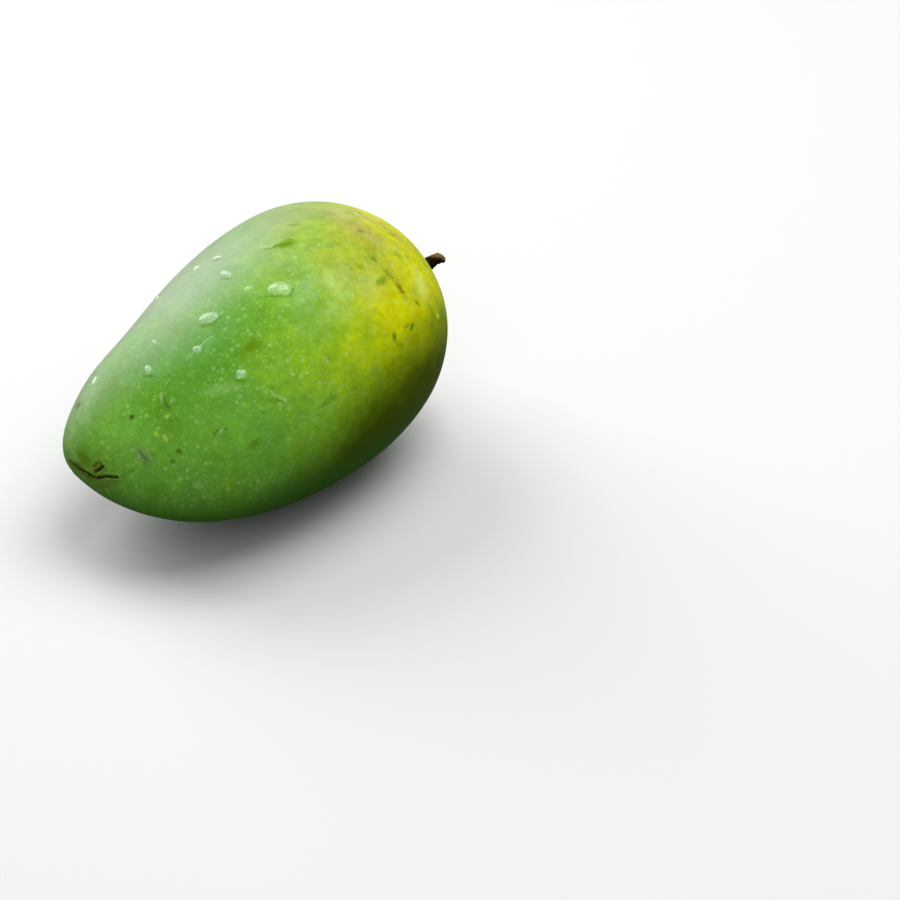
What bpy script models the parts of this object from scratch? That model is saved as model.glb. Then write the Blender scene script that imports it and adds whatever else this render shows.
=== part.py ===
"""Green mango lying on its side: one whole fruit and the stub of its stalk.

The fruit's own frame has +X along its length towards the stalk, +Y towards its belly, where
the hollow before the tip is, and Z from cheek to cheek. The finished part lies as the fruit
comes to rest: +Z up, the thick end raised, and the origin in the middle of the small flat
spot that it rests on.
"""
from math import exp, radians

import bmesh
import bpy
from mathutils import Euler, Vector

# Size of the fruit, in metres
LENGTH = 0.134            # from the tip to the stalk end
WIDTH = 0.087             # from back to belly, at mid length
THICKNESS = 0.077         # from cheek to cheek, at mid length

# Profile of the fruit: each half size changes along the length by a taper, which adds this
# share at the stalk end and takes it away at the tip, and by a fullness added at both ends
BELLY_TAPER = 0.415
BELLY_FULLNESS = 0.03
BACK_TAPER = -0.08
BACK_FULLNESS = 0.34
CHEEK_TAPER = 0.24
CHEEK_FULLNESS = 0.0
SKEW = 0.002              # stalk end shifted towards the belly, tip as much towards the back
BOW = 0.0060              # both ends bent towards the belly

# Hollow in the belly before the tip; its place and span are shares of half the length
HOLLOW_DEPTH = 0.0024
HOLLOW_PLACE = -0.49
HOLLOW_SPAN = 0.30

# Shallow dimple that the stalk stands in
DIMPLE_DEPTH = 0.0012
DIMPLE_RADIUS = 0.008
DIMPLE_SHIFT = 0.0017     # from the middle of the stalk end towards the back

# How the fruit lies
REST_TILT = radians(6.8)  # thick end raised
REST_ROLL = radians(1.5)  # turned about its length
REST_CUT = 0.0004         # depth of the flat spot

# Stalk stub: points along it in the fruit's frame, from the bottom of its socket, measured
# from the middle of the dimple, each with the stub's radius there
STALK_PATH = (
    ((-0.0030, 0.0000, -0.0008), 0.0023),
    ((0.0004, 0.0000, 0.0002), 0.0025),
    ((0.0050, -0.0002, 0.0019), 0.0020),
    ((0.0080, -0.0009, 0.0027), 0.0018),
    ((0.0106, -0.0020, 0.0018), 0.0012),
)
SOCKET_GAP = 0.0003       # between the stub and the socket that it stands in
SOCKET_REACH = 0.008      # length of the socket's cutter, well out of the fruit

FRUIT_SEGMENTS = 80
FRUIT_RINGS = 48
SOCKET_SIDES = 32
TABLE_SIZE = 0.1          # side of the block that cuts the flat spot
WELD = 0.00001


def half_size(size, taper, fullness, along):
    """Half of one of the fruit's sizes, at a share of half the length from the middle."""
    return size / 2 * (1 + taper * along + fullness * along * along)


def fruit_point(along, across, up):
    """Where a point of a unit ball lies on the fruit, along being +1 at the stalk end."""
    belly = half_size(WIDTH, BELLY_TAPER, BELLY_FULLNESS, along)
    belly -= HOLLOW_DEPTH * exp(-(((along - HOLLOW_PLACE) / HOLLOW_SPAN) ** 2))
    back = half_size(WIDTH, BACK_TAPER, BACK_FULLNESS, along)
    cheek = half_size(THICKNESS, CHEEK_TAPER, CHEEK_FULLNESS, along)
    x = LENGTH / 2 * along
    y = across * (belly if across > 0 else back) + SKEW * along + BOW * along * along
    z = up * cheek
    if along > 0:
        from_stalk = Vector((y - SKEW - BOW + DIMPLE_SHIFT, z)).length
        x -= DIMPLE_DEPTH * exp(-((from_stalk / DIMPLE_RADIUS) ** 2))
    return Vector((x, y, z))


def new_collection(name):
    """A new collection in the scene."""
    group = bpy.data.collections.new(name)
    bpy.context.scene.collection.children.link(group)
    return group


def put_in(obj, group):
    """Moves an object into one collection."""
    for other in list(obj.users_collection):
        other.objects.unlink(obj)
    group.objects.link(obj)


def new_material(name, colour, roughness):
    """A Principled BSDF material that isn't metal."""
    material = bpy.data.materials.new(name)
    material.use_nodes = True
    shader = material.node_tree.nodes["Principled BSDF"]
    shader.inputs["Base Color"].default_value = (*colour, 1)
    shader.inputs["Roughness"].default_value = roughness
    shader.inputs["Metallic"].default_value = 0
    return material


def cut(obj, cutter):
    """Takes a cutter's shape out of an object."""
    cutter.hide_render = True
    cutter.display_type = "WIRE"
    difference = obj.modifiers.new(cutter.name, "BOOLEAN")
    difference.operation = "DIFFERENCE"
    difference.solver = "EXACT"
    difference.object = cutter


def make_fruit():
    """A ball pulled to the fruit's shape, turned as it lies and sunk by its flat spot."""
    bpy.ops.mesh.primitive_uv_sphere_add(segments=FRUIT_SEGMENTS, ring_count=FRUIT_RINGS, radius=1)
    fruit = bpy.context.object
    fruit.name = "fruit"
    for vertex in fruit.data.vertices:
        across, up, along = vertex.co
        vertex.co = fruit_point(along, across, up)
    fruit.data.shade_smooth()
    fruit.rotation_euler = (REST_ROLL, -REST_TILT, 0)
    turned = [fruit.rotation_euler.to_matrix() @ vertex.co for vertex in fruit.data.vertices]
    floor = min(point.z for point in turned) + REST_CUT
    spot = [point for point in turned if point.z < floor]
    middle = sum(spot, Vector()) / len(spot)
    fruit.location = (-middle.x, -middle.y, -floor)
    return fruit


def make_table():
    """The block that cuts the flat spot, its top at the height of the origin."""
    bpy.ops.mesh.primitive_cube_add(size=TABLE_SIZE, location=(0, 0, -TABLE_SIZE / 2))
    table = bpy.context.object
    table.name = "rest_cutter"
    return table


def make_stalk(foot, group):
    """A curved stub that tapers, made a closed mesh in the fruit's frame."""
    curve = bpy.data.curves.new("stem_path", "CURVE")
    curve.dimensions = "3D"
    curve.bevel_depth = 1
    curve.bevel_resolution = 4
    curve.resolution_u = 5
    curve.use_fill_caps = True
    spline = curve.splines.new("BEZIER")
    spline.bezier_points.add(len(STALK_PATH) - 1)
    for point, (place, radius) in zip(spline.bezier_points, STALK_PATH):
        point.co = foot + Vector(place)
        point.radius = radius
        point.handle_left_type = "AUTO"
        point.handle_right_type = "AUTO"
    path = bpy.data.objects.new("stem_path", curve)
    group.objects.link(path)
    shape = path.evaluated_get(bpy.context.evaluated_depsgraph_get())
    mesh = bpy.data.meshes.new_from_object(shape)
    bpy.data.objects.remove(path)
    ends = bmesh.new()
    ends.from_mesh(mesh)
    bmesh.ops.remove_doubles(ends, verts=ends.verts, dist=WELD)
    bmesh.ops.recalc_face_normals(ends, faces=ends.faces)
    ends.to_mesh(mesh)
    ends.free()
    mesh.shade_smooth()
    mesh.set_sharp_from_angle(angle=radians(50))
    stalk = bpy.data.objects.new("stem", mesh)
    group.objects.link(stalk)
    return stalk


def make_socket(foot):
    """The hole that the stub stands in, along its first stretch and a little wider."""
    bottom = foot + Vector(STALK_PATH[0][0])
    way_out = (Vector(STALK_PATH[1][0]) - Vector(STALK_PATH[0][0])).normalized()
    radius = max(radius for place, radius in STALK_PATH) + SOCKET_GAP
    bpy.ops.mesh.primitive_cylinder_add(
        vertices=SOCKET_SIDES,
        radius=radius,
        depth=SOCKET_REACH,
        location=bottom + way_out * (SOCKET_REACH / 2 - SOCKET_GAP),
        rotation=way_out.to_track_quat("Z", "Y").to_euler(),
    )
    socket = bpy.context.object
    socket.name = "socket_cutter"
    return socket


for old in list(bpy.data.objects):
    bpy.data.objects.remove(old)

mango = new_collection("mango")
cutters = new_collection("cutters")

fruit = make_fruit()
fruit.data.materials.append(new_material("green skin", (0.16, 0.36, 0.06), 0.35))
put_in(fruit, mango)

table = make_table()
put_in(table, cutters)
cut(fruit, table)

foot = fruit_point(1, 0, 0) - Vector((0, DIMPLE_SHIFT, 0))
socket = make_socket(foot)
put_in(socket, cutters)
cut(fruit, socket)

stalk = make_stalk(foot, mango)
stalk.data.materials.append(new_material("dry stalk", (0.07, 0.04, 0.02), 0.8))

for piece in (stalk, socket):
    piece.parent = fruit
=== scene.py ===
import math
import random

import bmesh
import bpy
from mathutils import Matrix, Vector, noise
from mathutils.bvhtree import BVHTree
from mathutils.geometry import intersect_point_line


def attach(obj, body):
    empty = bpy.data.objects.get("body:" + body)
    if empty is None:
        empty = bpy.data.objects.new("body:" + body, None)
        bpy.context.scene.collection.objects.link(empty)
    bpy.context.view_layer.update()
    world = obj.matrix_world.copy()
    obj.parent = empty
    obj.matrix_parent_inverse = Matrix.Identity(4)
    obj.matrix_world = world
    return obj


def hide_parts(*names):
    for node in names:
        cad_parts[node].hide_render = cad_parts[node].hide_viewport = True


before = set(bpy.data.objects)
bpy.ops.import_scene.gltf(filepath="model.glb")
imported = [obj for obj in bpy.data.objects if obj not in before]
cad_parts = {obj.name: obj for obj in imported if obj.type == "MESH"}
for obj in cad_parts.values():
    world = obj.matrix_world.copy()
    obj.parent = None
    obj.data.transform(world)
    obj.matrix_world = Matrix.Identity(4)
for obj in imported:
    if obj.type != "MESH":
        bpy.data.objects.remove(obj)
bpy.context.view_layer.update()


# Camera
# The photograph looks down on the back of the fruit from about 0.9 m, with the fruit left of
# and above the middle of the picture. A point of the picture is given in its 900 pixels.
CAMERA_AZIMUTH = math.radians(-36.5)
CAMERA_ELEVATION = math.radians(36)
CAMERA_DISTANCE = 0.9
FRUIT_MIDDLE = Vector((-0.0011, 0.0008, 0.0385))
FRUIT_LEFT = 0.0548                # from the middle of the picture to the middle of the fruit
FRUIT_UP = 0.0268
LENS = 116.1
SENSOR = 36
PICTURE = 900
VIEW_REACH = 10

camera_back = Vector((
    math.sin(CAMERA_AZIMUTH) * math.cos(CAMERA_ELEVATION),
    -math.cos(CAMERA_AZIMUTH) * math.cos(CAMERA_ELEVATION),
    math.sin(CAMERA_ELEVATION),
))
camera_right = Vector((math.cos(CAMERA_AZIMUTH), math.sin(CAMERA_AZIMUTH), 0))
camera_up = camera_back.cross(camera_right)
camera_place = FRUIT_MIDDLE + camera_back * CAMERA_DISTANCE + camera_right * FRUIT_LEFT
camera_place -= camera_up * FRUIT_UP

bpy.ops.object.camera_add(location=camera_place, rotation=camera_back.to_track_quat("Z", "Y").to_euler())
camera = bpy.context.object
camera.name = "camera"
camera.data.lens = LENS
camera.data.sensor_width = SENSOR
camera.data.clip_end = VIEW_REACH
bpy.context.scene.camera = camera


def sight(across, down):
    """The direction from the camera through a point of the picture."""
    share = SENSOR / LENS / PICTURE
    aim = camera_right * (across - PICTURE / 2) * share - camera_up * (down - PICTURE / 2) * share
    return (aim - camera_back).normalized()


# Fruit
# One grown piece, smooth and firm. Its green skin ripens to yellow at the shoulder under the
# stalk, has pale pores and a bloom of wax on its back with a painted sheen in it, and folds into a
# dry crease before the tip. It carries painted shade on its lower right side and underneath, and
# painted shadows under the drops. It is an even net of faces laid on the solid, and coloured by
# where it faces.
STALK_FOOT = Vector((0.0586, 0.0061, 0.0458))
SOCKET_REACH = 0.0042              # from the stalk's foot to past the edge of its socket
JOIN = 0.00002                     # points this close together are one
FORM_LEVELS = 2
NET_CUTS = 104
NET_START = (0.064, 0.044, 0.038)  # half sizes of the ball that is laid on the node
SWELLING_DEPTH = 0.00015
SWELLING_SIZE = 0.017
FLAT_HEIGHT = 0.002                # no swellings below this, round the flat spot
SWELLINGS = (                      # where, how high and how wide
    ((290, 213), 0.0012, 0.022),
    ((171, 300), -0.0009, 0.010),
    ((104, 374), 0.0010, 0.013),
)
CREASE = ((70.5, 461), (78, 467.5), (86.7, 472.5), (95.8, 478), (106, 476.5), (117.5, 477.5))
CREASE_BRANCH = ((96, 471.5), (99, 470), (103.5, 466.5))
CREASE_AREA = 0.02                 # all creases lie within this of one point of the first
CREASE_REACH = 0.0025              # finer faces this far from a crease
CREASE_CUTS = 3
CREASE_WIDTH = 0.00035
CREASE_DEPTH = 0.0007
CREASE_LIP = 0.00018
LIP_PLACE = 2.4                    # in widths of the crease from its middle


def only(*pieces):
    """Leaves these pieces selected and nothing else, the first one active."""
    bpy.ops.object.select_all(action="DESELECT")
    for piece in pieces:
        piece.select_set(True)
    bpy.context.view_layer.objects.active = pieces[0]


def apply_all(piece):
    """Applies a piece's modifiers in their order, and its place and size."""
    only(piece)
    for modifier in list(piece.modifiers):
        bpy.ops.object.modifier_apply(modifier=modifier.name)
    bpy.ops.object.transform_apply(location=True, rotation=True, scale=True)


def copy_of(node, name):
    """A piece with its own mesh in the shape of a CAD node, its faces joined up."""
    piece = bpy.data.objects.new(name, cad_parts[node].data.copy())
    bpy.context.scene.collection.objects.link(piece)
    only(piece)
    bpy.ops.object.mode_set(mode="EDIT")
    bpy.ops.mesh.select_all(action="SELECT")
    bpy.ops.mesh.remove_doubles(threshold=JOIN)
    bpy.ops.mesh.tris_convert_to_quads()
    bpy.ops.object.mode_set(mode="OBJECT")
    return piece


def select_faces(piece, chosen):
    """Selects the faces whose centres pass a test, with the piece then in edit mode."""
    only(piece)
    bpy.ops.object.mode_set(mode="EDIT")
    bpy.ops.mesh.select_mode(type="FACE")
    bpy.ops.mesh.select_all(action="DESELECT")
    cage = bmesh.from_edit_mesh(piece.data)
    for face in cage.faces:
        face.select_set(chosen(face.calc_center_median()))
    cage.select_flush(True)
    bmesh.update_edit_mesh(piece.data)


def move_points(piece, shift):
    """Moves each point of a piece's mesh by what a function of its place and normal gives."""
    moved = [point.co + shift(point.co, point.normal) for point in piece.data.vertices]
    for point, place in zip(piece.data.vertices, moved):
        point.co = place
    piece.data.update()


def on_skin(across, down):
    """The point of the skin that is seen at a point of the picture, and the skin's normal."""
    place, normal, face, distance = skin_tree.ray_cast(camera_place, sight(across, down))
    return place, normal


def from_line(place, line):
    """The distance from a place to a line of points."""
    nearest = []
    for start, end in zip(line, line[1:]):
        foot, share = intersect_point_line(place, start, end)
        nearest.append((place - start.lerp(end, min(max(share, 0), 1))).length)
    return min(nearest)


def crease_distance(place):
    """The distance from a place to the nearest crease, or the reach of one if all are far away."""
    if (place - creases[0][2]).length > CREASE_AREA:
        return CREASE_REACH
    return min(from_line(place, line) for line in creases)


def skin_relief(place, normal):
    """Low swellings over the whole skin, and the crease with its raised lips."""
    swelling = noise.noise(place / SWELLING_SIZE) * min(1, place.z / FLAT_HEIGHT) * SWELLING_DEPTH
    for middle, height, size in swellings:
        swelling += height * math.exp(-(((place - middle).length / size) ** 2))
    across = crease_distance(place) / CREASE_WIDTH
    crease = math.exp(-across * across)
    lip = math.exp(-((across - LIP_PLACE) ** 2))
    return normal * (swelling - crease * CREASE_DEPTH + lip * CREASE_LIP)


form = copy_of("fruit", "form")
select_faces(form, lambda place: (place - STALK_FOOT).length < SOCKET_REACH)
bpy.ops.mesh.delete(type="FACE")
bpy.ops.mesh.select_mode(type="EDGE")
bpy.ops.mesh.select_non_manifold()
bpy.ops.mesh.fill()
bpy.ops.object.mode_set(mode="OBJECT")
form_smooth = form.modifiers.new("smooth", "SUBSURF")
form_smooth.levels = form_smooth.render_levels = FORM_LEVELS
apply_all(form)

bpy.ops.mesh.primitive_cube_add(size=2, location=FRUIT_MIDDLE)
skin = bpy.context.object
skin.name = "skin"
bpy.ops.object.mode_set(mode="EDIT")
bpy.ops.mesh.subdivide(number_cuts=NET_CUTS)
bpy.ops.object.mode_set(mode="OBJECT")
ball = skin.modifiers.new("ball", "CAST")
ball.factor = 1
ball.radius = 1
ball.size = 1
bpy.ops.object.modifier_apply(modifier=ball.name)
skin.scale = NET_START
bpy.ops.object.transform_apply(location=True, rotation=True, scale=True)
laid = skin.modifiers.new("laid", "SHRINKWRAP")
laid.target = form
laid.wrap_method = "TARGET_PROJECT"
apply_all(skin)
bpy.data.objects.remove(form)

skin_tree = BVHTree.FromObject(skin, bpy.context.evaluated_depsgraph_get())
creases = [[on_skin(*point)[0] for point in line] for line in (CREASE, CREASE_BRANCH)]
swellings = [(on_skin(*point)[0], height, size) for point, height, size in SWELLINGS]
select_faces(skin, lambda place: crease_distance(place) < CREASE_REACH)
bpy.ops.mesh.subdivide(number_cuts=CREASE_CUTS)
bpy.ops.object.mode_set(mode="OBJECT")
move_points(skin, skin_relief)
only(skin)
bpy.ops.object.shade_smooth()
skin_tree = BVHTree.FromObject(skin, bpy.context.evaluated_depsgraph_get())


class Paint:
    """A value in a material, which sums can be written with, each adding a Math node."""

    def __init__(self, tree, socket=None):
        self.tree = tree
        self.socket = socket

    def node(self, kind, settings, inputs, output=0):
        """The output of a new node, from its settings and the values or links it takes."""
        made = self.tree.nodes.new("ShaderNode" + kind)
        for name, value in settings.items():
            if name == "stops":
                self.set_stops(made.color_ramp, value)
            else:
                setattr(made, name, value)
        for name, value in inputs.items():
            if isinstance(value, Paint):
                self.tree.links.new(value.socket, made.inputs[name])
            else:
                made.inputs[name].default_value = value
        return Paint(self.tree, made.outputs[output])

    def set_stops(self, ramp, stops):
        """Gives a colour ramp its colours, each with its place from 0 to 1."""
        ramp.elements.remove(ramp.elements[1])
        ramp.elements[0].position, ramp.elements[0].color = stops[0]
        for place, colour in stops[1:]:
            ramp.elements.new(place).color = colour

    def math(self, operation, *values):
        """A value worked out by one Math node."""
        return self.node("Math", {"operation": operation}, dict(enumerate(values)))

    def vector(self, operation, *values, output=0):
        """A place, direction or value worked out by one Vector Math node."""
        return self.node("VectorMath", {"operation": operation}, dict(enumerate(values)), output)

    def __add__(self, other):
        return self.math("ADD", self, other)

    __radd__ = __add__

    def __sub__(self, other):
        return self.math("SUBTRACT", self, other)

    def __rsub__(self, other):
        return self.math("SUBTRACT", other, self)

    def __mul__(self, other):
        return self.math("MULTIPLY", self, other)

    __rmul__ = __mul__

    def eased(self, start, end):
        """Rises smoothly from 0 where the value is at the start to 1 where it is at the end."""
        edges = {"Value": self, "From Min": start, "From Max": end}
        return self.node("MapRange", {"interpolation_type": "SMOOTHSTEP"}, edges)

    def blend(self, first, second):
        """The first colour where the value is 0 and the second where it is 1."""
        colours = {"Factor": self, "A": first, "B": second}
        return self.node("Mix", {"data_type": "RGBA"}, colours, "Result")

    def dimmed(self, share):
        """The colour made darker or brighter, to a share of what it was."""
        return self.node("VectorMath", {"operation": "SCALE"}, {"Vector": self, "Scale": share})

    def noise(self, scale, detail=2, roughness=0.5, output="Fac"):
        """Cloudy values round 0.5 over the places of a material, so many clouds to a metre."""
        sockets = {"Vector": self, "Scale": scale, "Detail": detail, "Roughness": roughness}
        return self.node("TexNoise", {}, sockets, output)

    def scattered(self, scale):
        """How far places are from scattered points, in metres, and a chance for each point."""
        points = self.node("TexVoronoi", {}, {"Vector": self, "Scale": scale})
        chance = Paint(self.tree, points.socket.node.outputs["Color"])
        return points * (1 / scale), chance.vector("DOT_PRODUCT", chance, (1, 0, 0), output="Value")

    def along(self, start, direction):
        """How far places are from a start in a direction, in metres."""
        from_start = self.vector("SUBTRACT", self, start)
        return from_start.vector("DOT_PRODUCT", from_start, direction, output="Value")

    def distance(self, middle):
        """How far places are from a middle, in metres."""
        return self.vector("DISTANCE", self, middle, output="Value")


def new_material(name):
    """A material, its shader and the places on the piece that it is on."""
    material = bpy.data.materials.new(name)
    material.use_nodes = True
    tree = material.node_tree
    return material, tree.nodes["Principled BSDF"], Paint(tree).node("TexCoord", {}, {}, "Object")


STREAK_SPREAD = 1.8                # outer edge of a streak, to its half sizes


def seen_streaks(places, streaks, start_fade=0, end_fade=0.9):
    """1 in streaks between points of the picture, each with its width, and 0 away from them.

    The fade starts and ends at shares of the way in from the outer edge of a streak.
    """
    nearest = None
    for start, end, width in streaks:
        first = on_skin(*start)[0]
        along = on_skin(*end)[0] - first
        turned = along.to_track_quat("X", "Z").to_euler()
        sizes = Vector((along.length + width, width, width)) / 2 * STREAK_SPREAD
        middle = first + along / 2
        moved = {"Vector": places, "Location": middle, "Rotation": turned, "Scale": sizes}
        inside = places.node("Mapping", {"vector_type": "TEXTURE"}, moved)
        cone = inside.node("TexGradient", {"gradient_type": "SPHERICAL"}, {"Vector": inside}, "Fac")
        nearest = cone.math("MAXIMUM", cone, nearest) if nearest else cone
    return nearest.eased(start_fade, end_fade)


# Unevenness of the skin, in clouds to a metre, and places that wander for the edges of marks
CLOUD_SCALE = 55
MOTTLE_SCALE = 150
GRAIN_SCALE = 380
FINE_GRAIN_SCALE = 1300
WANDER_SCALE = 700
WANDER = 0.0011                    # how far the edges of marks wander

skin_material, skin_shader, places = new_material("waxy green skin")
clouds = places.noise(CLOUD_SCALE, detail=3) - 0.5
mottling = places.noise(MOTTLE_SCALE, detail=4, roughness=0.6) - 0.5
grain = places.noise(GRAIN_SCALE, detail=3, roughness=0.65) - 0.5
fine_grain = places.noise(FINE_GRAIN_SCALE, detail=2, roughness=0.6) - 0.5
wander = places.noise(WANDER_SCALE, detail=3, roughness=0.6, output="Color")
wander = wander.vector("SUBTRACT", wander, (0.5, 0.5, 0.5))
wander = wander.vector("MULTIPLY", wander, (WANDER, WANDER, WANDER))
rough_places = places.vector("ADD", places, wander)

# Ripeness, from green at the tip to yellow at the shoulder, and duller on top
GREEN = (0.155, 0.430, 0.035, 1)
FRESH_GREEN = (0.225, 0.500, 0.025, 1)
LEAF_GREEN = (0.338, 0.568, 0.012, 1)
YELLOW_GREEN = (0.510, 0.640, 0.004, 1)
YELLOW = (0.710, 0.730, 0.001, 1)
DULL_YELLOW = (0.360, 0.420, 0.060, 1)
RIPENING = ((0, GREEN), (0.28, FRESH_GREEN), (0.56, LEAF_GREEN), (0.78, YELLOW_GREEN), (1, YELLOW))
RIPE_SIDE = (camera_right + camera_up * 0.35).normalized()
RIPE_START = -0.004
RIPE_END = 0.042
RIPE_UNEVEN = 0.40
TOP = Vector((0, 0, 1))
DULL_HEIGHTS = (0.030, 0.046)
DULL_RIPE = (0, 0.5)               # from this ripe to that
DULL_STRENGTH = 0.6

ripe = (places.along(FRUIT_MIDDLE, RIPE_SIDE) - RIPE_START) * (1 / (RIPE_END - RIPE_START))
ripe = ripe + clouds * RIPE_UNEVEN + mottling * RIPE_UNEVEN
colour = ripe.node("ValToRGB", {"stops": RIPENING}, {"Fac": ripe})
dull = places.along(FRUIT_MIDDLE, TOP).eased(*DULL_HEIGHTS) * ripe.eased(*DULL_RIPE)
colour = (dull * DULL_STRENGTH).blend(colour, DULL_YELLOW)

# Tints in clouds all over it, then single patches from one point of the picture to another
OLIVE_GREEN = (0.190, 0.400, 0.012, 1)
COOL_GREEN = (0.130, 0.400, 0.070, 1)
DEEP_GREEN = (0.105, 0.335, 0.024, 1)
BLUE_GREEN = (0.180, 0.430, 0.130, 1)
TIP_GREEN = (0.200, 0.520, 0.060, 1)
PALE_GREEN = (0.420, 0.700, 0.220, 1)
PALE_YELLOW = (0.750, 0.830, 0.120, 1)
DRY_YELLOW = (0.440, 0.370, 0.110, 1)
PALE_TAN = (0.560, 0.500, 0.210, 1)
OLIVE = (0.125, 0.260, 0.002, 1)
TINT_SCALE = 105
TINTS = (                          # where in the clouds a tint starts and is full, strength, colour
    (0.54, 0.68, 0.45, OLIVE_GREEN),
    (0.46, 0.34, 0.35, COOL_GREEN),
)
PATCH_UNEVEN = 1.5
PATCHES = (                        # from and to in the picture, width, strength, colour
    ((175, 387), (247, 335), 0.022, 0.85, DEEP_GREEN),
    ((150, 368), (212, 336), 0.010, 0.5, BLUE_GREEN),
    ((298, 268), (312, 318), 0.010, 0.45, BLUE_GREEN),
    ((92, 432), (122, 470), 0.020, 0.65, TIP_GREEN),
    ((160, 400), (175, 425), 0.012, 0.4, DEEP_GREEN),
    ((378, 298), (406, 322), 0.013, 0.9, YELLOW),
    ((336, 264), (364, 280), 0.012, 0.5, DULL_YELLOW),
    ((384, 236), (400, 252), 0.009, 0.25, DULL_YELLOW),
    ((348, 222), (372, 236), 0.009, 0.75, DRY_YELLOW),
    # A pale strip near the tip that carries on the painted sheen
    ((80, 414), (92, 392), 0.009, 0.36, PALE_GREEN),
    ((318, 302), (352, 286), 0.016, 0.28, PALE_GREEN),
    ((332, 211), (366, 217), 0.009, 0.42, PALE_TAN),
    ((298, 246), (318, 229), 0.011, 0.3, FRESH_GREEN),
    ((374, 221), (404, 242), 0.006, 0.5, DRY_YELLOW),
    ((280, 350), (292, 372), 0.020, 0.35, LEAF_GREEN),
    ((352, 240), (385, 262), 0.012, 0.5, DULL_YELLOW),
    # Painted highlight on the shoulder
    ((419, 277), (423, 291), 0.006, 0.8, PALE_YELLOW),
    ((90, 456), (112, 455), 0.009, 0.3, OLIVE),
    ((158, 405), (172, 425), 0.007, 0.3, OLIVE),
    ((246, 350), (255, 342), 0.005, 0.2, OLIVE),
    ((70, 440), (72, 452), 0.006, 0.4, PALE_GREEN),
)

tinted = places.noise(TINT_SCALE, detail=4, roughness=0.6)
for start, full, strength, tint in TINTS:
    colour = (tinted.eased(start, full) * strength).blend(colour, tint)
patchy = mottling * PATCH_UNEVEN
for start, end, width, strength, patch_colour in PATCHES:
    patch = seen_streaks(places, [(start, end, width)]) * (patchy + strength)
    colour = patch.blend(colour, patch_colour)

# Bloom of wax on its back with a painted sheen in it, thinner near the tip and where it is ripe, and
# less of both in two streaks
# The pale colour is partly the wax's own and partly a painted sheen along the upper back
SHEEN_AND_BLOOM = (0.320, 0.400, 0.265, 1)
SHEEN_AND_BLOOM_SIDE = camera_up * 0.78 - camera_right * 0.625
SHEEN_AND_BLOOM_EDGE = (0.012, 0.034)
SHEEN_AND_BLOOM_STRENGTH = 0.45
SHEEN_AND_BLOOM_UNEVEN = 0.5
SHEEN_AND_BLOOM_THICKER = 0.20               # added away from the tip, along the ripe side
SHEEN_AND_BLOOM_THICKER_EDGE = (-0.050, -0.020)
SHEEN_AND_BLOOM_LOST = 0.30                  # taken away by ripeness
LESS_SHEEN_AND_BLOOM = (((112, 360), (150, 325), 0.012, 0.3), ((302, 238), (326, 228), 0.014, 0.55))

sheen_and_bloom = places.along(FRUIT_MIDDLE, SHEEN_AND_BLOOM_SIDE).eased(*SHEEN_AND_BLOOM_EDGE)
for start, end, width, strength in LESS_SHEEN_AND_BLOOM:
    sheen_and_bloom = sheen_and_bloom * (1 - seen_streaks(places, [(start, end, width)]) * strength)
thicker_sheen_and_bloom = places.along(FRUIT_MIDDLE, RIPE_SIDE).eased(*SHEEN_AND_BLOOM_THICKER_EDGE) * SHEEN_AND_BLOOM_THICKER
sheen_and_bloom_depth = thicker_sheen_and_bloom + SHEEN_AND_BLOOM_STRENGTH - ripe * SHEEN_AND_BLOOM_LOST + clouds * SHEEN_AND_BLOOM_UNEVEN
colour = (sheen_and_bloom * sheen_and_bloom_depth).blend(colour, SHEEN_AND_BLOOM)

# Pores in three sizes, crowded in places and faint under the bloom and its painted sheen, and the skin's
# own grain
PORES = (                          # how many to a metre, edge and core, chances none and all, strength
    (430, 0.00100, 0.00015, 0.10, 0.8, 1),
    (760, 0.00058, 0.00010, 0.3, 0.9, 0.8),
    (1250, 0.00036, 0.00008, 0.3, 0.9, 0.5),
)
CROWD_SCALE = 30
CROWD_EDGE = (0.36, 0.60)
CROWDING = 0.6                     # how much fainter the pores are outside the crowds
PORE_STRENGTH = 0.55
PORES_HIDDEN = 0.8                 # how much the bloom and its painted sheen hide of the pores, and of the grain
GRAIN_HIDDEN = 0.7
GRAIN_STRENGTH = 0.6
FINE_GRAIN_STRENGTH = 0.25
MOTTLE_STRENGTH = 0.45

crowd = places.noise(CROWD_SCALE, detail=1).eased(*CROWD_EDGE) * CROWDING + (1 - CROWDING)
pores = None
for scale, edge, core, rare, common, strength in PORES:
    pore, pore_chance = places.scattered(scale)
    pore = pore.eased(edge, core) * pore_chance.eased(rare, common) * (crowd * strength)
    pores = pores.math("MAXIMUM", pores, pore) if pores else pore
pores = pores * (1 - sheen_and_bloom * PORES_HIDDEN)
colour = (pores * PORE_STRENGTH).blend(colour, PALE_GREEN)
texture = (grain * GRAIN_STRENGTH + fine_grain * FINE_GRAIN_STRENGTH) * (1 - sheen_and_bloom * GRAIN_HIDDEN)
colour = colour.dimmed(texture + mottling * MOTTLE_STRENGTH + 1)

# Painted shade: the skin turns a darker green and then dark olive on its lower right side, and deep
# green underneath
PAINTED_SHADE_GREEN = (0.052, 0.092, 0.000, 1)
PAINTED_HALF_SHADE_GREEN = (0.100, 0.250, 0.001, 1)
PAINTED_UNDER_SHADE_GREEN = (0.042, 0.155, 0.008, 1)
SHADY_SIDE = camera_right * 0.74 - camera_up * 0.67
SHADE_UNEVEN = 0.010
SHADE_CLOUDY = 0.006
HALF_SHADE_EDGE = (0.019, 0.031)
HALF_SHADE_RIPE = (0.2, 0.6)
HALF_SHADE_STRENGTH = 0.5
SHADE_EDGE = (0.0232, 0.0392)
SHADE_STRENGTH = 0.95
UNDERSIDE = Vector((0, 0, -1))
UNDER_SHADE_EDGE = (0.002, 0.020)
UNDER_SHADE_STRENGTH = 0.9

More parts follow.
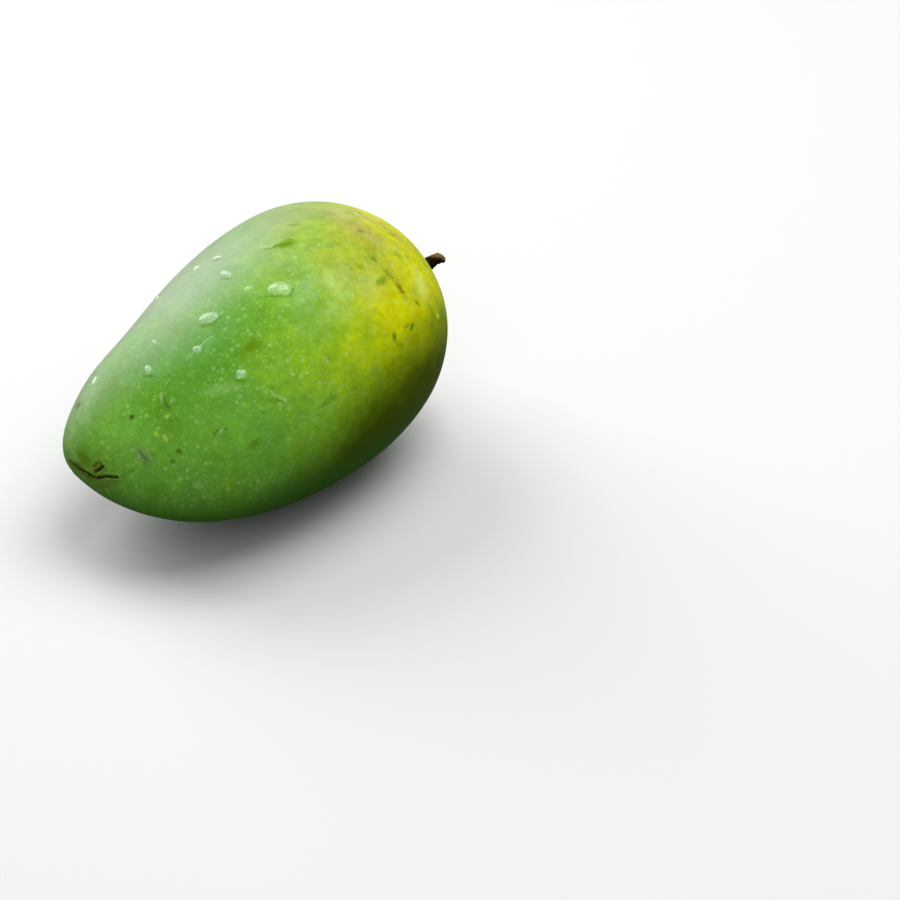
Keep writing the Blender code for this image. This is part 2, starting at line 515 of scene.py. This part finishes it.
shady = places.along(FRUIT_MIDDLE, SHADY_SIDE) + mottling * SHADE_UNEVEN + clouds * SHADE_CLOUDY
half_shade = shady.eased(*HALF_SHADE_EDGE) * ripe.eased(*HALF_SHADE_RIPE)
colour = (half_shade * HALF_SHADE_STRENGTH).blend(colour, PAINTED_HALF_SHADE_GREEN)
colour = (shady.eased(*SHADE_EDGE) * SHADE_STRENGTH).blend(colour, PAINTED_SHADE_GREEN)
under_shade = places.along(FRUIT_MIDDLE, UNDERSIDE).eased(*UNDER_SHADE_EDGE)
colour = (under_shade * UNDER_SHADE_STRENGTH).blend(colour, PAINTED_UNDER_SHADE_GREEN)

# Scars, rubs and specks that the picture shows, each from one point to another with its width
# Some marks are painted light: shadows under the drops and a highlight along a water streak
BLOTCH_GREEN = (0.170, 0.310, 0.003, 1)
MOSS_AND_DROP_SHADOW = (0.080, 0.200, 0.004, 1)
BROWN = (0.260, 0.200, 0.020, 1)
UMBER = (0.150, 0.130, 0.010, 1)
CORK = (0.160, 0.120, 0.035, 1)
SPECK = (0.030, 0.050, 0.006, 1)
SCUFF = (0.170, 0.280, 0.090, 1)
BRIGHT = (0.450, 0.720, 0.060, 1)
CREASE_COLOUR = (0.012, 0.020, 0.003, 1)
BLOTCH = (((281, 245), (290, 243), 0.0032), ((287.5, 240), (292, 240), 0.0012))
MARKS = (                          # colour, strength, and from, to and width of each mark
    # Painted shadows under the lower edges of the drops and of a water streak
    (MOSS_AND_DROP_SHADOW, 0.65, (
        ((263, 249.5), (272, 248), 0.0007),
        ((271, 249), (277, 245.5), 0.0009),
        ((276, 245.5), (283, 246), 0.0011),
        ((212, 261.5), (222, 258), 0.0008),
        ((270, 296.5), (290, 296), 0.0012),
        ((290, 295), (293, 289), 0.0010),
        ((202, 326), (212, 324.5), 0.0012),
        ((212, 324), (220, 317), 0.0013),
        ((221, 279.5), (231, 278.5), 0.0008),
        ((236.5, 380), (245, 380.5), 0.0010),
        ((145, 376), (152, 376), 0.0010),
    )),
    (MOSS_AND_DROP_SHADOW, 0.9, (
        ((411, 329), (413, 325), 0.0013),
        ((394, 335), (394.5, 338), 0.0016),
    )),
    (MOSS_AND_DROP_SHADOW, 0.45, (
        ((324, 405), (330, 399), 0.0016),
        ((330, 400), (335, 396), 0.0012),
        ((276, 398), (282, 402), 0.0012),
        ((271, 387), (272, 388), 0.0012),
        ((262, 412), (264, 413), 0.0010),
        ((250, 448), (258, 441), 0.0020),
        ((268, 400), (278, 401), 0.0014),
        ((120, 477), (128, 473), 0.0009),
        ((128, 473), (137, 467), 0.0009),
    )),
    (OLIVE, 0.9, (
        ((283, 244.5), (289, 243.5), 0.0014),
        ((250, 347), (257, 343.5), 0.0026),
        ((254, 341), (256, 346), 0.0022),
        ((245, 350), (251, 347.5), 0.0012),
        ((257, 346), (261.5, 350.5), 0.0009),
        ((79, 454), (88, 461), 0.0036),
    )),
    (OLIVE, 0.7, (
        ((290, 225), (298, 224.5), 0.0012),
        ((359.5, 231), (362, 231), 0.0018),
        ((391, 234), (394, 235.5), 0.0014),
        ((373.5, 259), (375, 260), 0.0018),
        ((386, 272), (390, 276), 0.0022),
        ((379, 283), (385, 279), 0.0024),
        ((415, 301), (418.5, 304), 0.0014),
    )),
    (OLIVE, 0.45, (
        ((243, 357), (247, 349), 0.0024),
        ((358, 265), (361, 267), 0.0020),
        ((397, 254), (400, 257), 0.0026),
        ((398, 343), (402, 346), 0.0022),
    )),
    (BROWN, 0.3, (
        ((370, 245), (376, 248), 0.0034),
        ((392, 275), (404, 296), 0.0034),
    )),
    (UMBER, 0.8, (
        ((398, 285), (400.5, 289), 0.0015),
        ((401, 291.5), (403, 292), 0.0012),
        ((76, 463), (81, 466), 0.0016),
    )),
    (UMBER, 0.45, (
        ((405, 327), (409, 325), 0.0014),
        ((99, 486), (112, 484), 0.0024),
        ((80, 471), (92, 480), 0.0022),
    )),
    (SPECK, 0.85, (
        ((131.2, 417), (131.8, 417.6), 0.0014),
        ((178.6, 451.6), (179.4, 452), 0.0015),
        ((140, 452), (143, 455.5), 0.0009),
        ((143, 456.5), (147, 460), 0.0011),
    )),
    (SPECK, 0.55, (
        ((144.6, 463), (145.2, 464), 0.0010),
        ((172, 461), (174, 463), 0.0012),
        ((215.2, 433.8), (217.6, 430.6), 0.0010),
        ((224.8, 429.4), (226.6, 428.4), 0.0009),
        ((163, 396), (164.5, 401), 0.0010),
        ((166, 404), (168, 408), 0.0014),
    )),
    (CORK, 0.8, (((77.6, 405), (78.8, 405.5), 0.0018),)),
    (SCUFF, 0.5, (((138, 450), (149, 462), 0.0044),)),
    (PALE_GREEN, 0.5, (
        ((218, 433), (223.5, 429), 0.0008),
        ((161, 394), (162, 399), 0.0012),
        ((197, 485), (198, 485.5), 0.0020),
        ((271, 391), (275, 396), 0.0010),
        ((274, 394), (281, 398), 0.0008),
        ((280, 395.5), (286.5, 402), 0.0008),
        # Painted highlight along a water streak
        ((258, 247.5), (270, 246.5), 0.0008),
        ((270, 246), (280, 242), 0.0008),
    )),
    (PALE_GREEN, 0.28, (
        ((210, 391), (231, 388), 0.0034),
        ((306.5, 418), (328, 406), 0.0008),
        ((328, 406), (345, 396.5), 0.0007),
        ((345, 396.5), (360.5, 388.5), 0.0006),
    )),
    (BRIGHT, 0.75, (
        ((155.8, 433.4), (156.2, 434), 0.0014),
        ((164, 437), (165.4, 439), 0.0014),
        ((167, 416.2), (167.6, 416.8), 0.0012),
    )),
    (PALE_YELLOW, 0.9, (((437.3, 315.5), (438, 316.5), 0.0014),)),
    (CREASE_COLOUR, 0.85, (
        ((96, 463.5), (97, 464), 0.0010),
        ((94, 466), (96, 467), 0.0010),
        ((99, 462), (101, 463), 0.0011),
        ((101, 465.5), (102.5, 466.5), 0.0012),
    )),
)
BREAK_SCALE = 1500
BREAK_EDGE = (0.30, 0.55)
BREAK_DEPTH = 0.6                  # how much a mark fades where it is broken
BLOTCH_FADE = (0.05, 0.8)          # from no colour to full, in shares of the way in from the edge
MARK_FADE = (0.12, 0.76)

blotch = seen_streaks(rough_places, BLOTCH, *BLOTCH_FADE) * (mottling + 1)
colour = blotch.blend(colour, BLOTCH_GREEN)
broken = places.noise(BREAK_SCALE, detail=3, roughness=0.6).eased(*BREAK_EDGE)
broken = broken * BREAK_DEPTH + (1 - BREAK_DEPTH)
for mark_colour, strength, streaks in MARKS:
    marked = seen_streaks(rough_places, streaks, *MARK_FADE) * (broken * strength)
    colour = marked.blend(colour, mark_colour)

# Freckles on the shoulder
FRECKLED = (((344, 224), (378, 246), 0.012), ((390, 270), (405, 296), 0.007))
FRECKLE_SCALE = 900
FRECKLE_SIZE = (0.00045, 0.00010)
FRECKLE_CHANCE = (0.3, 0.7)
FRECKLE_STRENGTH = 0.6

freckle, freckle_chance = rough_places.scattered(FRECKLE_SCALE)
freckled = freckle_chance.eased(*FRECKLE_CHANCE) * seen_streaks(places, FRECKLED)
freckles = freckle.eased(*FRECKLE_SIZE) * freckled
colour = (freckles * FRECKLE_STRENGTH).blend(colour, UMBER)

# The crease: a brown stain, then a dark broken line that is thinner where it starts
CREASE_STAIN = 0.0030
CREASE_LINE = 0.00100
CREASE_TAIL = 0.6                  # width of the line where it starts, to the rest
STAIN_STRENGTH = 0.55
STAIN_UNEVEN = 2
CRACK_BREAKS = 1.5                 # how much more broken the line is than the marks
CRACK_FADE = (0.1, 0.7)

folds = [(start, end) for line in (CREASE, CREASE_BRANCH) for start, end in zip(line, line[1:])]
stain = seen_streaks(rough_places, [(start, end, CREASE_STAIN) for start, end in folds])
colour = (stain * (mottling * STAIN_UNEVEN + STAIN_STRENGTH)).blend(colour, UMBER)
cracks = [(start, end, CREASE_LINE * (CREASE_TAIL if start == CREASE[0] else 1)) for start, end in folds]
crack = seen_streaks(rough_places, cracks, *CRACK_FADE)
colour = (crack * (broken * CRACK_BREAKS - (CRACK_BREAKS - 1))).blend(colour, CREASE_COLOUR)

# A few dark specks on the far side
SPECK_SCALE = 130
SPECK_SIZE = (0.0012, 0.0005)
SPECK_CHANCE = 0.8                 # of the points, only those whose chance is above this
SPECK_STRENGTH = 0.75
FAR_EDGE = (-0.002, 0.006)

speck, speck_chance = rough_places.scattered(SPECK_SCALE)
far = places.along(FRUIT_MIDDLE, -camera_back).eased(*FAR_EDGE)
specks = speck.eased(*SPECK_SIZE) * speck_chance.math("GREATER_THAN", speck_chance, SPECK_CHANCE) * far
colour = (specks * SPECK_STRENGTH).blend(colour, SPECK)

# The corky ring round the stalk, then the relief and the waxy gloss
CORK_EDGE = (0.0062, 0.0045)
CORK_STRENGTH = 0.8
RELIEF_HEIGHT = 0.0004
RELIEF_STRENGTH = 0.22
GRAIN_RELIEF = 0.5
MOTTLE_RELIEF = 0.4
PORE_RELIEF = 0.5
WAX_GLOSS = 0.9

cork = rough_places.distance(STALK_FOOT).eased(*CORK_EDGE)
colour = (cork * CORK_STRENGTH).blend(colour, CORK)
height = grain * GRAIN_RELIEF + mottling * MOTTLE_RELIEF + pores * PORE_RELIEF
bumps = {"Strength": RELIEF_STRENGTH, "Distance": RELIEF_HEIGHT, "Height": height}
relief = height.node("Bump", {}, bumps)
waxy = sheen_and_bloom * (1 - blotch) * WAX_GLOSS
for value, socket in ((colour, "Base Color"), (waxy, "Coat Weight"), (relief, "Normal")):
    skin_material.node_tree.links.new(value.socket, skin_shader.inputs[socket])
skin_shader.inputs["Roughness"].default_value = 0.45
skin_shader.inputs["IOR"].default_value = 1.45
skin_shader.inputs["Specular IOR Level"].default_value = 0.02
skin_shader.inputs["Coat Roughness"].default_value = 0.5
skin.data.materials.append(skin_material)

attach(skin, "root")
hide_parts("fruit")


# Stalk
# The woody stub that the fruit was picked with: dry, ridged along its length, darkest where it
# stands in the fruit, and paler on the knob where it broke off.
STALK_UP = Vector((0.93, -0.10, 0.36)).normalized()
STALK_RIDGE = 0.00045
RIDGES_ACROSS = 900                # ridges to a metre, across the stub and along it
RIDGES_ALONG = 160
STALK_GRAIN = 0.0002
STALK_GRAIN_SCALE = 2600
STALK_COLLAR = 0.0006
STALK_HEEL = 0.0008                # the collar's upper side, above the rest of it
COLLAR_LENGTH = 0.0012
STALK_LIFT = 0.0006                # how far the stub curled up as it dried
LIFT_LENGTH = 0.003
STALK_SHRINK = 0.20                # how much shorter it dried, past its firm first stretch
STALK_FIRM = 0.004
STALK_DARK = (0.012, 0.008, 0.002, 1)
STALK_TAN = (0.240, 0.135, 0.045, 1)
FIBRE_SCALE = 900
KNOB_SIDE = Vector((0.55, 0.25, 0.80))
KNOB_EDGE = (0.0062, 0.0078)
KNOB_UNEVEN = 0.003
KNOB_STRENGTH = 0.9
STALK_LEVELS = 3


def stalk_relief(place, normal):
    """Ridges along the stub, a fine grain, and a collar where it leaves the fruit."""
    along = (place - STALK_FOOT).dot(STALK_UP)
    across = place - STALK_FOOT - STALK_UP * along
    ridge = noise.noise(across * RIDGES_ACROSS + STALK_UP * along * RIDGES_ALONG)
    grain = noise.noise(place * STALK_GRAIN_SCALE)
    collar = STALK_COLLAR + STALK_HEEL * max(0, normal.dot(camera_up))
    collar *= math.exp(-((along / COLLAR_LENGTH) ** 2))
    drawn_in = STALK_UP * max(0, along - STALK_FIRM) * STALK_SHRINK
    lifted = camera_up * min(1, max(0, along / LIFT_LENGTH)) * STALK_LIFT
    return normal * (ridge * STALK_RIDGE + grain * STALK_GRAIN + collar) + lifted - drawn_in


stalk = copy_of("stem", "stalk")
stalk_smooth = stalk.modifiers.new("smooth", "SUBSURF")
stalk_smooth.levels = stalk_smooth.render_levels = STALK_LEVELS
apply_all(stalk)
move_points(stalk, stalk_relief)
only(stalk)
bpy.ops.object.shade_smooth()

stalk_material, stalk_shader, stalk_places = new_material("dry stalk")
fibres = stalk_places.noise(FIBRE_SCALE, detail=3, roughness=0.7) - 0.5
knob = stalk_places.along(STALK_FOOT, KNOB_SIDE) + fibres * KNOB_UNEVEN
stalk_colour = (knob.eased(*KNOB_EDGE) * KNOB_STRENGTH).blend(STALK_DARK, STALK_TAN)
stalk_material.node_tree.links.new(stalk_colour.socket, stalk_shader.inputs["Base Color"])
stalk_shader.inputs["Roughness"].default_value = 0.85
stalk_shader.inputs["Specular IOR Level"].default_value = 0.05
stalk.data.materials.clear()
stalk.data.materials.append(stalk_material)

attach(stalk, "root")
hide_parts("stem")


# Water
# Drops that stand on the waxy skin, round where it is level and drawn out where it slopes, with
# two thin runs down its back. Each is a clear bead whose foot is sunk a little in the skin.
POINT_SIZE = CAMERA_DISTANCE * SENSOR / LENS / PICTURE
DROP_STRETCH = 1.6                 # the most that a drop is drawn out downhill
DROP_WAVE = 0.16                   # unevenness of a drop's outline
DROP_WAVES = 1.3
DROP_CHANGE = 900                  # how fast the outline changes from place to place
DROP_FOOT = 0.0004
DROP_SINK = 0.22                   # share of its height
WATER_TINT = (0.80, 0.82, 0.80, 1)
WATER_INDEX = 1.33
DROPS = (                          # place, half length and half width in the picture, turn, height
    ((279.5, 289.0), 11.5, 7.5, 0, 0.0019),
    ((208.5, 318.0), 10.5, 5.5, 0.33, 0.0012),
    ((226.0, 274.0), 6.0, 4.0, 0, 0.0011),
    ((217.0, 257.5), 5.5, 1.8, 0.35, 0.0006),
    ((196.0, 268.0), 4.5, 1.8, 0.65, 0.0005),
    ((248.5, 288.0), 5.0, 1.8, 0.45, 0.0004),
    ((154.5, 342.0), 2.4, 2.2, 0, 0.0005),
    ((148.0, 369.5), 3.8, 4.8, 0, 0.0010),
    ((241.0, 374.4), 5.0, 5.2, 0, 0.0009),
    ((197.0, 349.5), 5.0, 3.8, 0.50, 0.0008),
    ((157.0, 297.5), 4.5, 2.0, 0.80, 0.0005),
    ((93.7, 381.0), 5.0, 2.4, 1.10, 0.0003),
)
FAR_DROPS = 12
FAR_DROP_SEED = 11
FAR_DROP_SIZES = (0.0007, 0.0022)
FAR_DROP_ASIDE = (-1, 1)           # least and most of the way out to it: right, back and up
FAR_DROP_AWAY = (0.5, 1)
FAR_DROP_UP = (0, 0.35)
FAR_DROP_WIDTH = (0.8, 1.3)        # shares of its length
FAR_DROP_RISE = 0.5
UPPER_RUN = (
    (185.5, 362.0), (191.0, 355.5), (197.0, 349.5), (206.0, 341.0), (212.0, 336.5), (217.5, 332.0),
)
LOWER_RUN = ((163.5, 388.0), (167.5, 382.0), (173.0, 375.0))
RUNS = ((UPPER_RUN, 0.00030), (LOWER_RUN, 0.00028))
RUN_SINK = 0.5                     # share of its radius
RUN_WANDER = 0.0006
RUN_BENDS = 500                    # bends and swells to a metre
RUN_SWELLS = 700
RUN_THICKNESS = 0.7                # shares of its radius: in the middle, what swells add, the ends
RUN_SWELL = 0.5
RUN_END = 0.3


def add_drop(place, normal, length, width, rise):
    """A copy of the bead on the skin, from its half length and half width along it and its rise."""
    drop = bead.copy()
    drop.name = "drop"
    drop.data = bead.data.copy()
    bpy.context.scene.collection.objects.link(drop)
    for point in drop.data.vertices:
        x, y, z = point.co
        wave = 1 + DROP_WAVE * noise.noise(Vector((x, y, 0)) * DROP_WAVES + place * DROP_CHANGE)
        height = z * rise if z > 0 else z * DROP_FOOT
        point.co = place + (length * x + width * y) * wave + normal * (height - DROP_SINK * rise)
    drop.data.update()
    return drop


def seen_drop(middle, half_length, half_width, turn, rise):
    """A bead on the skin, sized and turned as it is seen in the picture."""
    place, normal = on_skin(*middle)
    across = camera_right * math.cos(turn) + camera_up * math.sin(turn)
    up = camera_up * math.cos(turn) - camera_right * math.sin(turn)
    facing = normal.dot(camera_back)
    length = (across - camera_back * (normal.dot(across) / facing)) * half_length * POINT_SIZE
    width = (up - camera_back * (normal.dot(up) / facing)) * half_width * POINT_SIZE
    widest = length.length * DROP_STRETCH
    if width.length > widest:
        width *= widest / width.length
    return add_drop(place, normal, length, width, rise)


def far_drop():
    """A bead somewhere on the upper part of the side that the picture doesn't show."""
    away = -Vector((camera_back.x, camera_back.y, 0)).normalized()
    way = camera_right * chance.uniform(*FAR_DROP_ASIDE) + away * chance.uniform(*FAR_DROP_AWAY)
    way += TOP * chance.uniform(*FAR_DROP_UP)
    place, normal, face, distance = skin_tree.ray_cast(FRUIT_MIDDLE, way)
    length = normal.cross(TOP).normalized() * chance.uniform(*FAR_DROP_SIZES)
    width = normal.cross(length) * chance.uniform(*FAR_DROP_WIDTH)
    return add_drop(place, normal, length, width, length.length * FAR_DROP_RISE)


def add_run(line, radius):
    """A thin line of water along points of the picture, its foot sunk in the skin."""
    path = bpy.data.curves.new("run", "CURVE")
    path.dimensions = "3D"
    path.bevel_depth = radius
    path.bevel_resolution = 3
    path.use_fill_caps = True
    spline = path.splines.new("NURBS")
    spline.points.add(len(line) - 1)
    spline.order_u = 3
    spline.use_endpoint_u = True
    for point, seen in zip(spline.points, line):
        place, normal = on_skin(*seen)
        place += camera_up * noise.noise(place * RUN_BENDS) * RUN_WANDER
        point.co = (*(place - normal * radius * RUN_SINK), 1)
        point.radius = RUN_THICKNESS + RUN_SWELL * noise.noise(place * RUN_SWELLS)
    spline.points[0].radius = spline.points[-1].radius = RUN_END
    run = bpy.data.objects.new("run", path)
    bpy.context.scene.collection.objects.link(run)
    only(run)
    bpy.ops.object.convert(target="MESH")
    bpy.ops.object.mode_set(mode="EDIT")
    bpy.ops.mesh.select_all(action="SELECT")
    bpy.ops.mesh.remove_doubles(threshold=JOIN)
    bpy.ops.mesh.normals_make_consistent(inside=False)
    bpy.ops.object.mode_set(mode="OBJECT")
    bpy.ops.object.shade_smooth()
    run.data.materials.clear()
    run.data.materials.append(water_material)
    return run


water_material, water_shader, water_places = new_material("water")
water_shader.inputs["Base Color"].default_value = WATER_TINT
water_shader.inputs["Roughness"].default_value = 0.2
water_shader.inputs["IOR"].default_value = WATER_INDEX
water_shader.inputs["Coat Weight"].default_value = 0.7
water_shader.inputs["Coat Roughness"].default_value = 0.12
water_shader.inputs["Coat IOR"].default_value = WATER_INDEX
water_shader.inputs["Transmission Weight"].default_value = 0.76

bpy.ops.mesh.primitive_uv_sphere_add(segments=32, ring_count=16, radius=1)
bead = bpy.context.object
bead.name = "bead"
bpy.ops.object.shade_smooth()
bead.data.materials.append(water_material)

chance = random.Random(FAR_DROP_SEED)
drops = [seen_drop(*drop) for drop in DROPS]
drops += [far_drop() for count in range(FAR_DROPS)]
drops += [add_run(*run) for run in RUNS]
bpy.data.objects.remove(bead)
only(*drops)
bpy.ops.object.join()
drops = bpy.context.object
drops.name = "drops"
drops.visible_shadow = False
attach(drops, "root")


# Floor and lamps
# A plain white floor under a tall soft lamp behind the fruit and left of it, which gives the
# pale sheen along its back, with weaker lamps at its right and in front and a faint daylight.
# The floor throws little of its light back up, so that the underside stays deep green.
FLOOR_SIZE = 20
FLOOR_WHITE = (0.8, 0.8, 0.8, 1)
FLOOR_BOUNCE = (0.3, 0.3, 0.3, 1)
LAMP_DISTANCE = 1.3
LAMPS = (                          # degrees round to the left and up, width, height, watts
    ("tall lamp", 45, 32, 1.0, 1.5, 15.5),
    ("side lamp", -70, 70, 1.0, 1.0, 12.6),
    ("front lamp", 180, 50, 1.0, 1.0, 3.2),
)
HORIZON = 0.85
DAYLIGHT = 0.15


def add_lamp(name, around, above, width, height, power):
    """A soft lamp that faces the fruit, turned round it to the left from straight behind it."""
    around = math.radians(around)
    above = math.radians(above)
    turned = camera_behind * math.cos(around) - camera_right * math.sin(around)
    out = turned * math.cos(above) + TOP * math.sin(above)
    bpy.ops.object.light_add(
        type="AREA",
        location=FRUIT_MIDDLE + out * LAMP_DISTANCE,
        rotation=out.to_track_quat("Z", "Y").to_euler(),
    )
    lamp = bpy.context.object
    lamp.name = name
    lamp.data.shape = "RECTANGLE"
    lamp.data.size = width
    lamp.data.size_y = height
    lamp.data.energy = power


camera_behind = Vector((camera_up.x, camera_up.y, 0)).normalized()
for lamp_sizes in LAMPS:
    add_lamp(*lamp_sizes)

bpy.ops.mesh.primitive_plane_add(size=FLOOR_SIZE)
floor = bpy.context.object
floor.name = "floor"
floor_material, floor_shader, floor_places = new_material("white floor")
seen = floor_places.node("LightPath", {}, {}, "Is Camera Ray")
floor_colour = seen.blend(FLOOR_BOUNCE, FLOOR_WHITE)
floor_material.node_tree.links.new(floor_colour.socket, floor_shader.inputs["Base Color"])
floor_shader.inputs["Roughness"].default_value = 0.9
floor_shader.inputs["Specular IOR Level"].default_value = 0.1
floor.data.materials.append(floor_material)

world = bpy.data.worlds.new("daylight")
bpy.context.scene.world = world
world.use_nodes = True
sky = world.node_tree.nodes["Background"]
sky.inputs["Color"].default_value = (1, 1, 1, 1)
glow = Paint(world.node_tree).node("LightPath", {}, {}, "Is Camera Ray")
glow = glow * (HORIZON - DAYLIGHT) + DAYLIGHT
world.node_tree.links.new(glow.socket, sky.inputs["Strength"])

bpy.context.scene.view_settings.view_transform = "Standard"
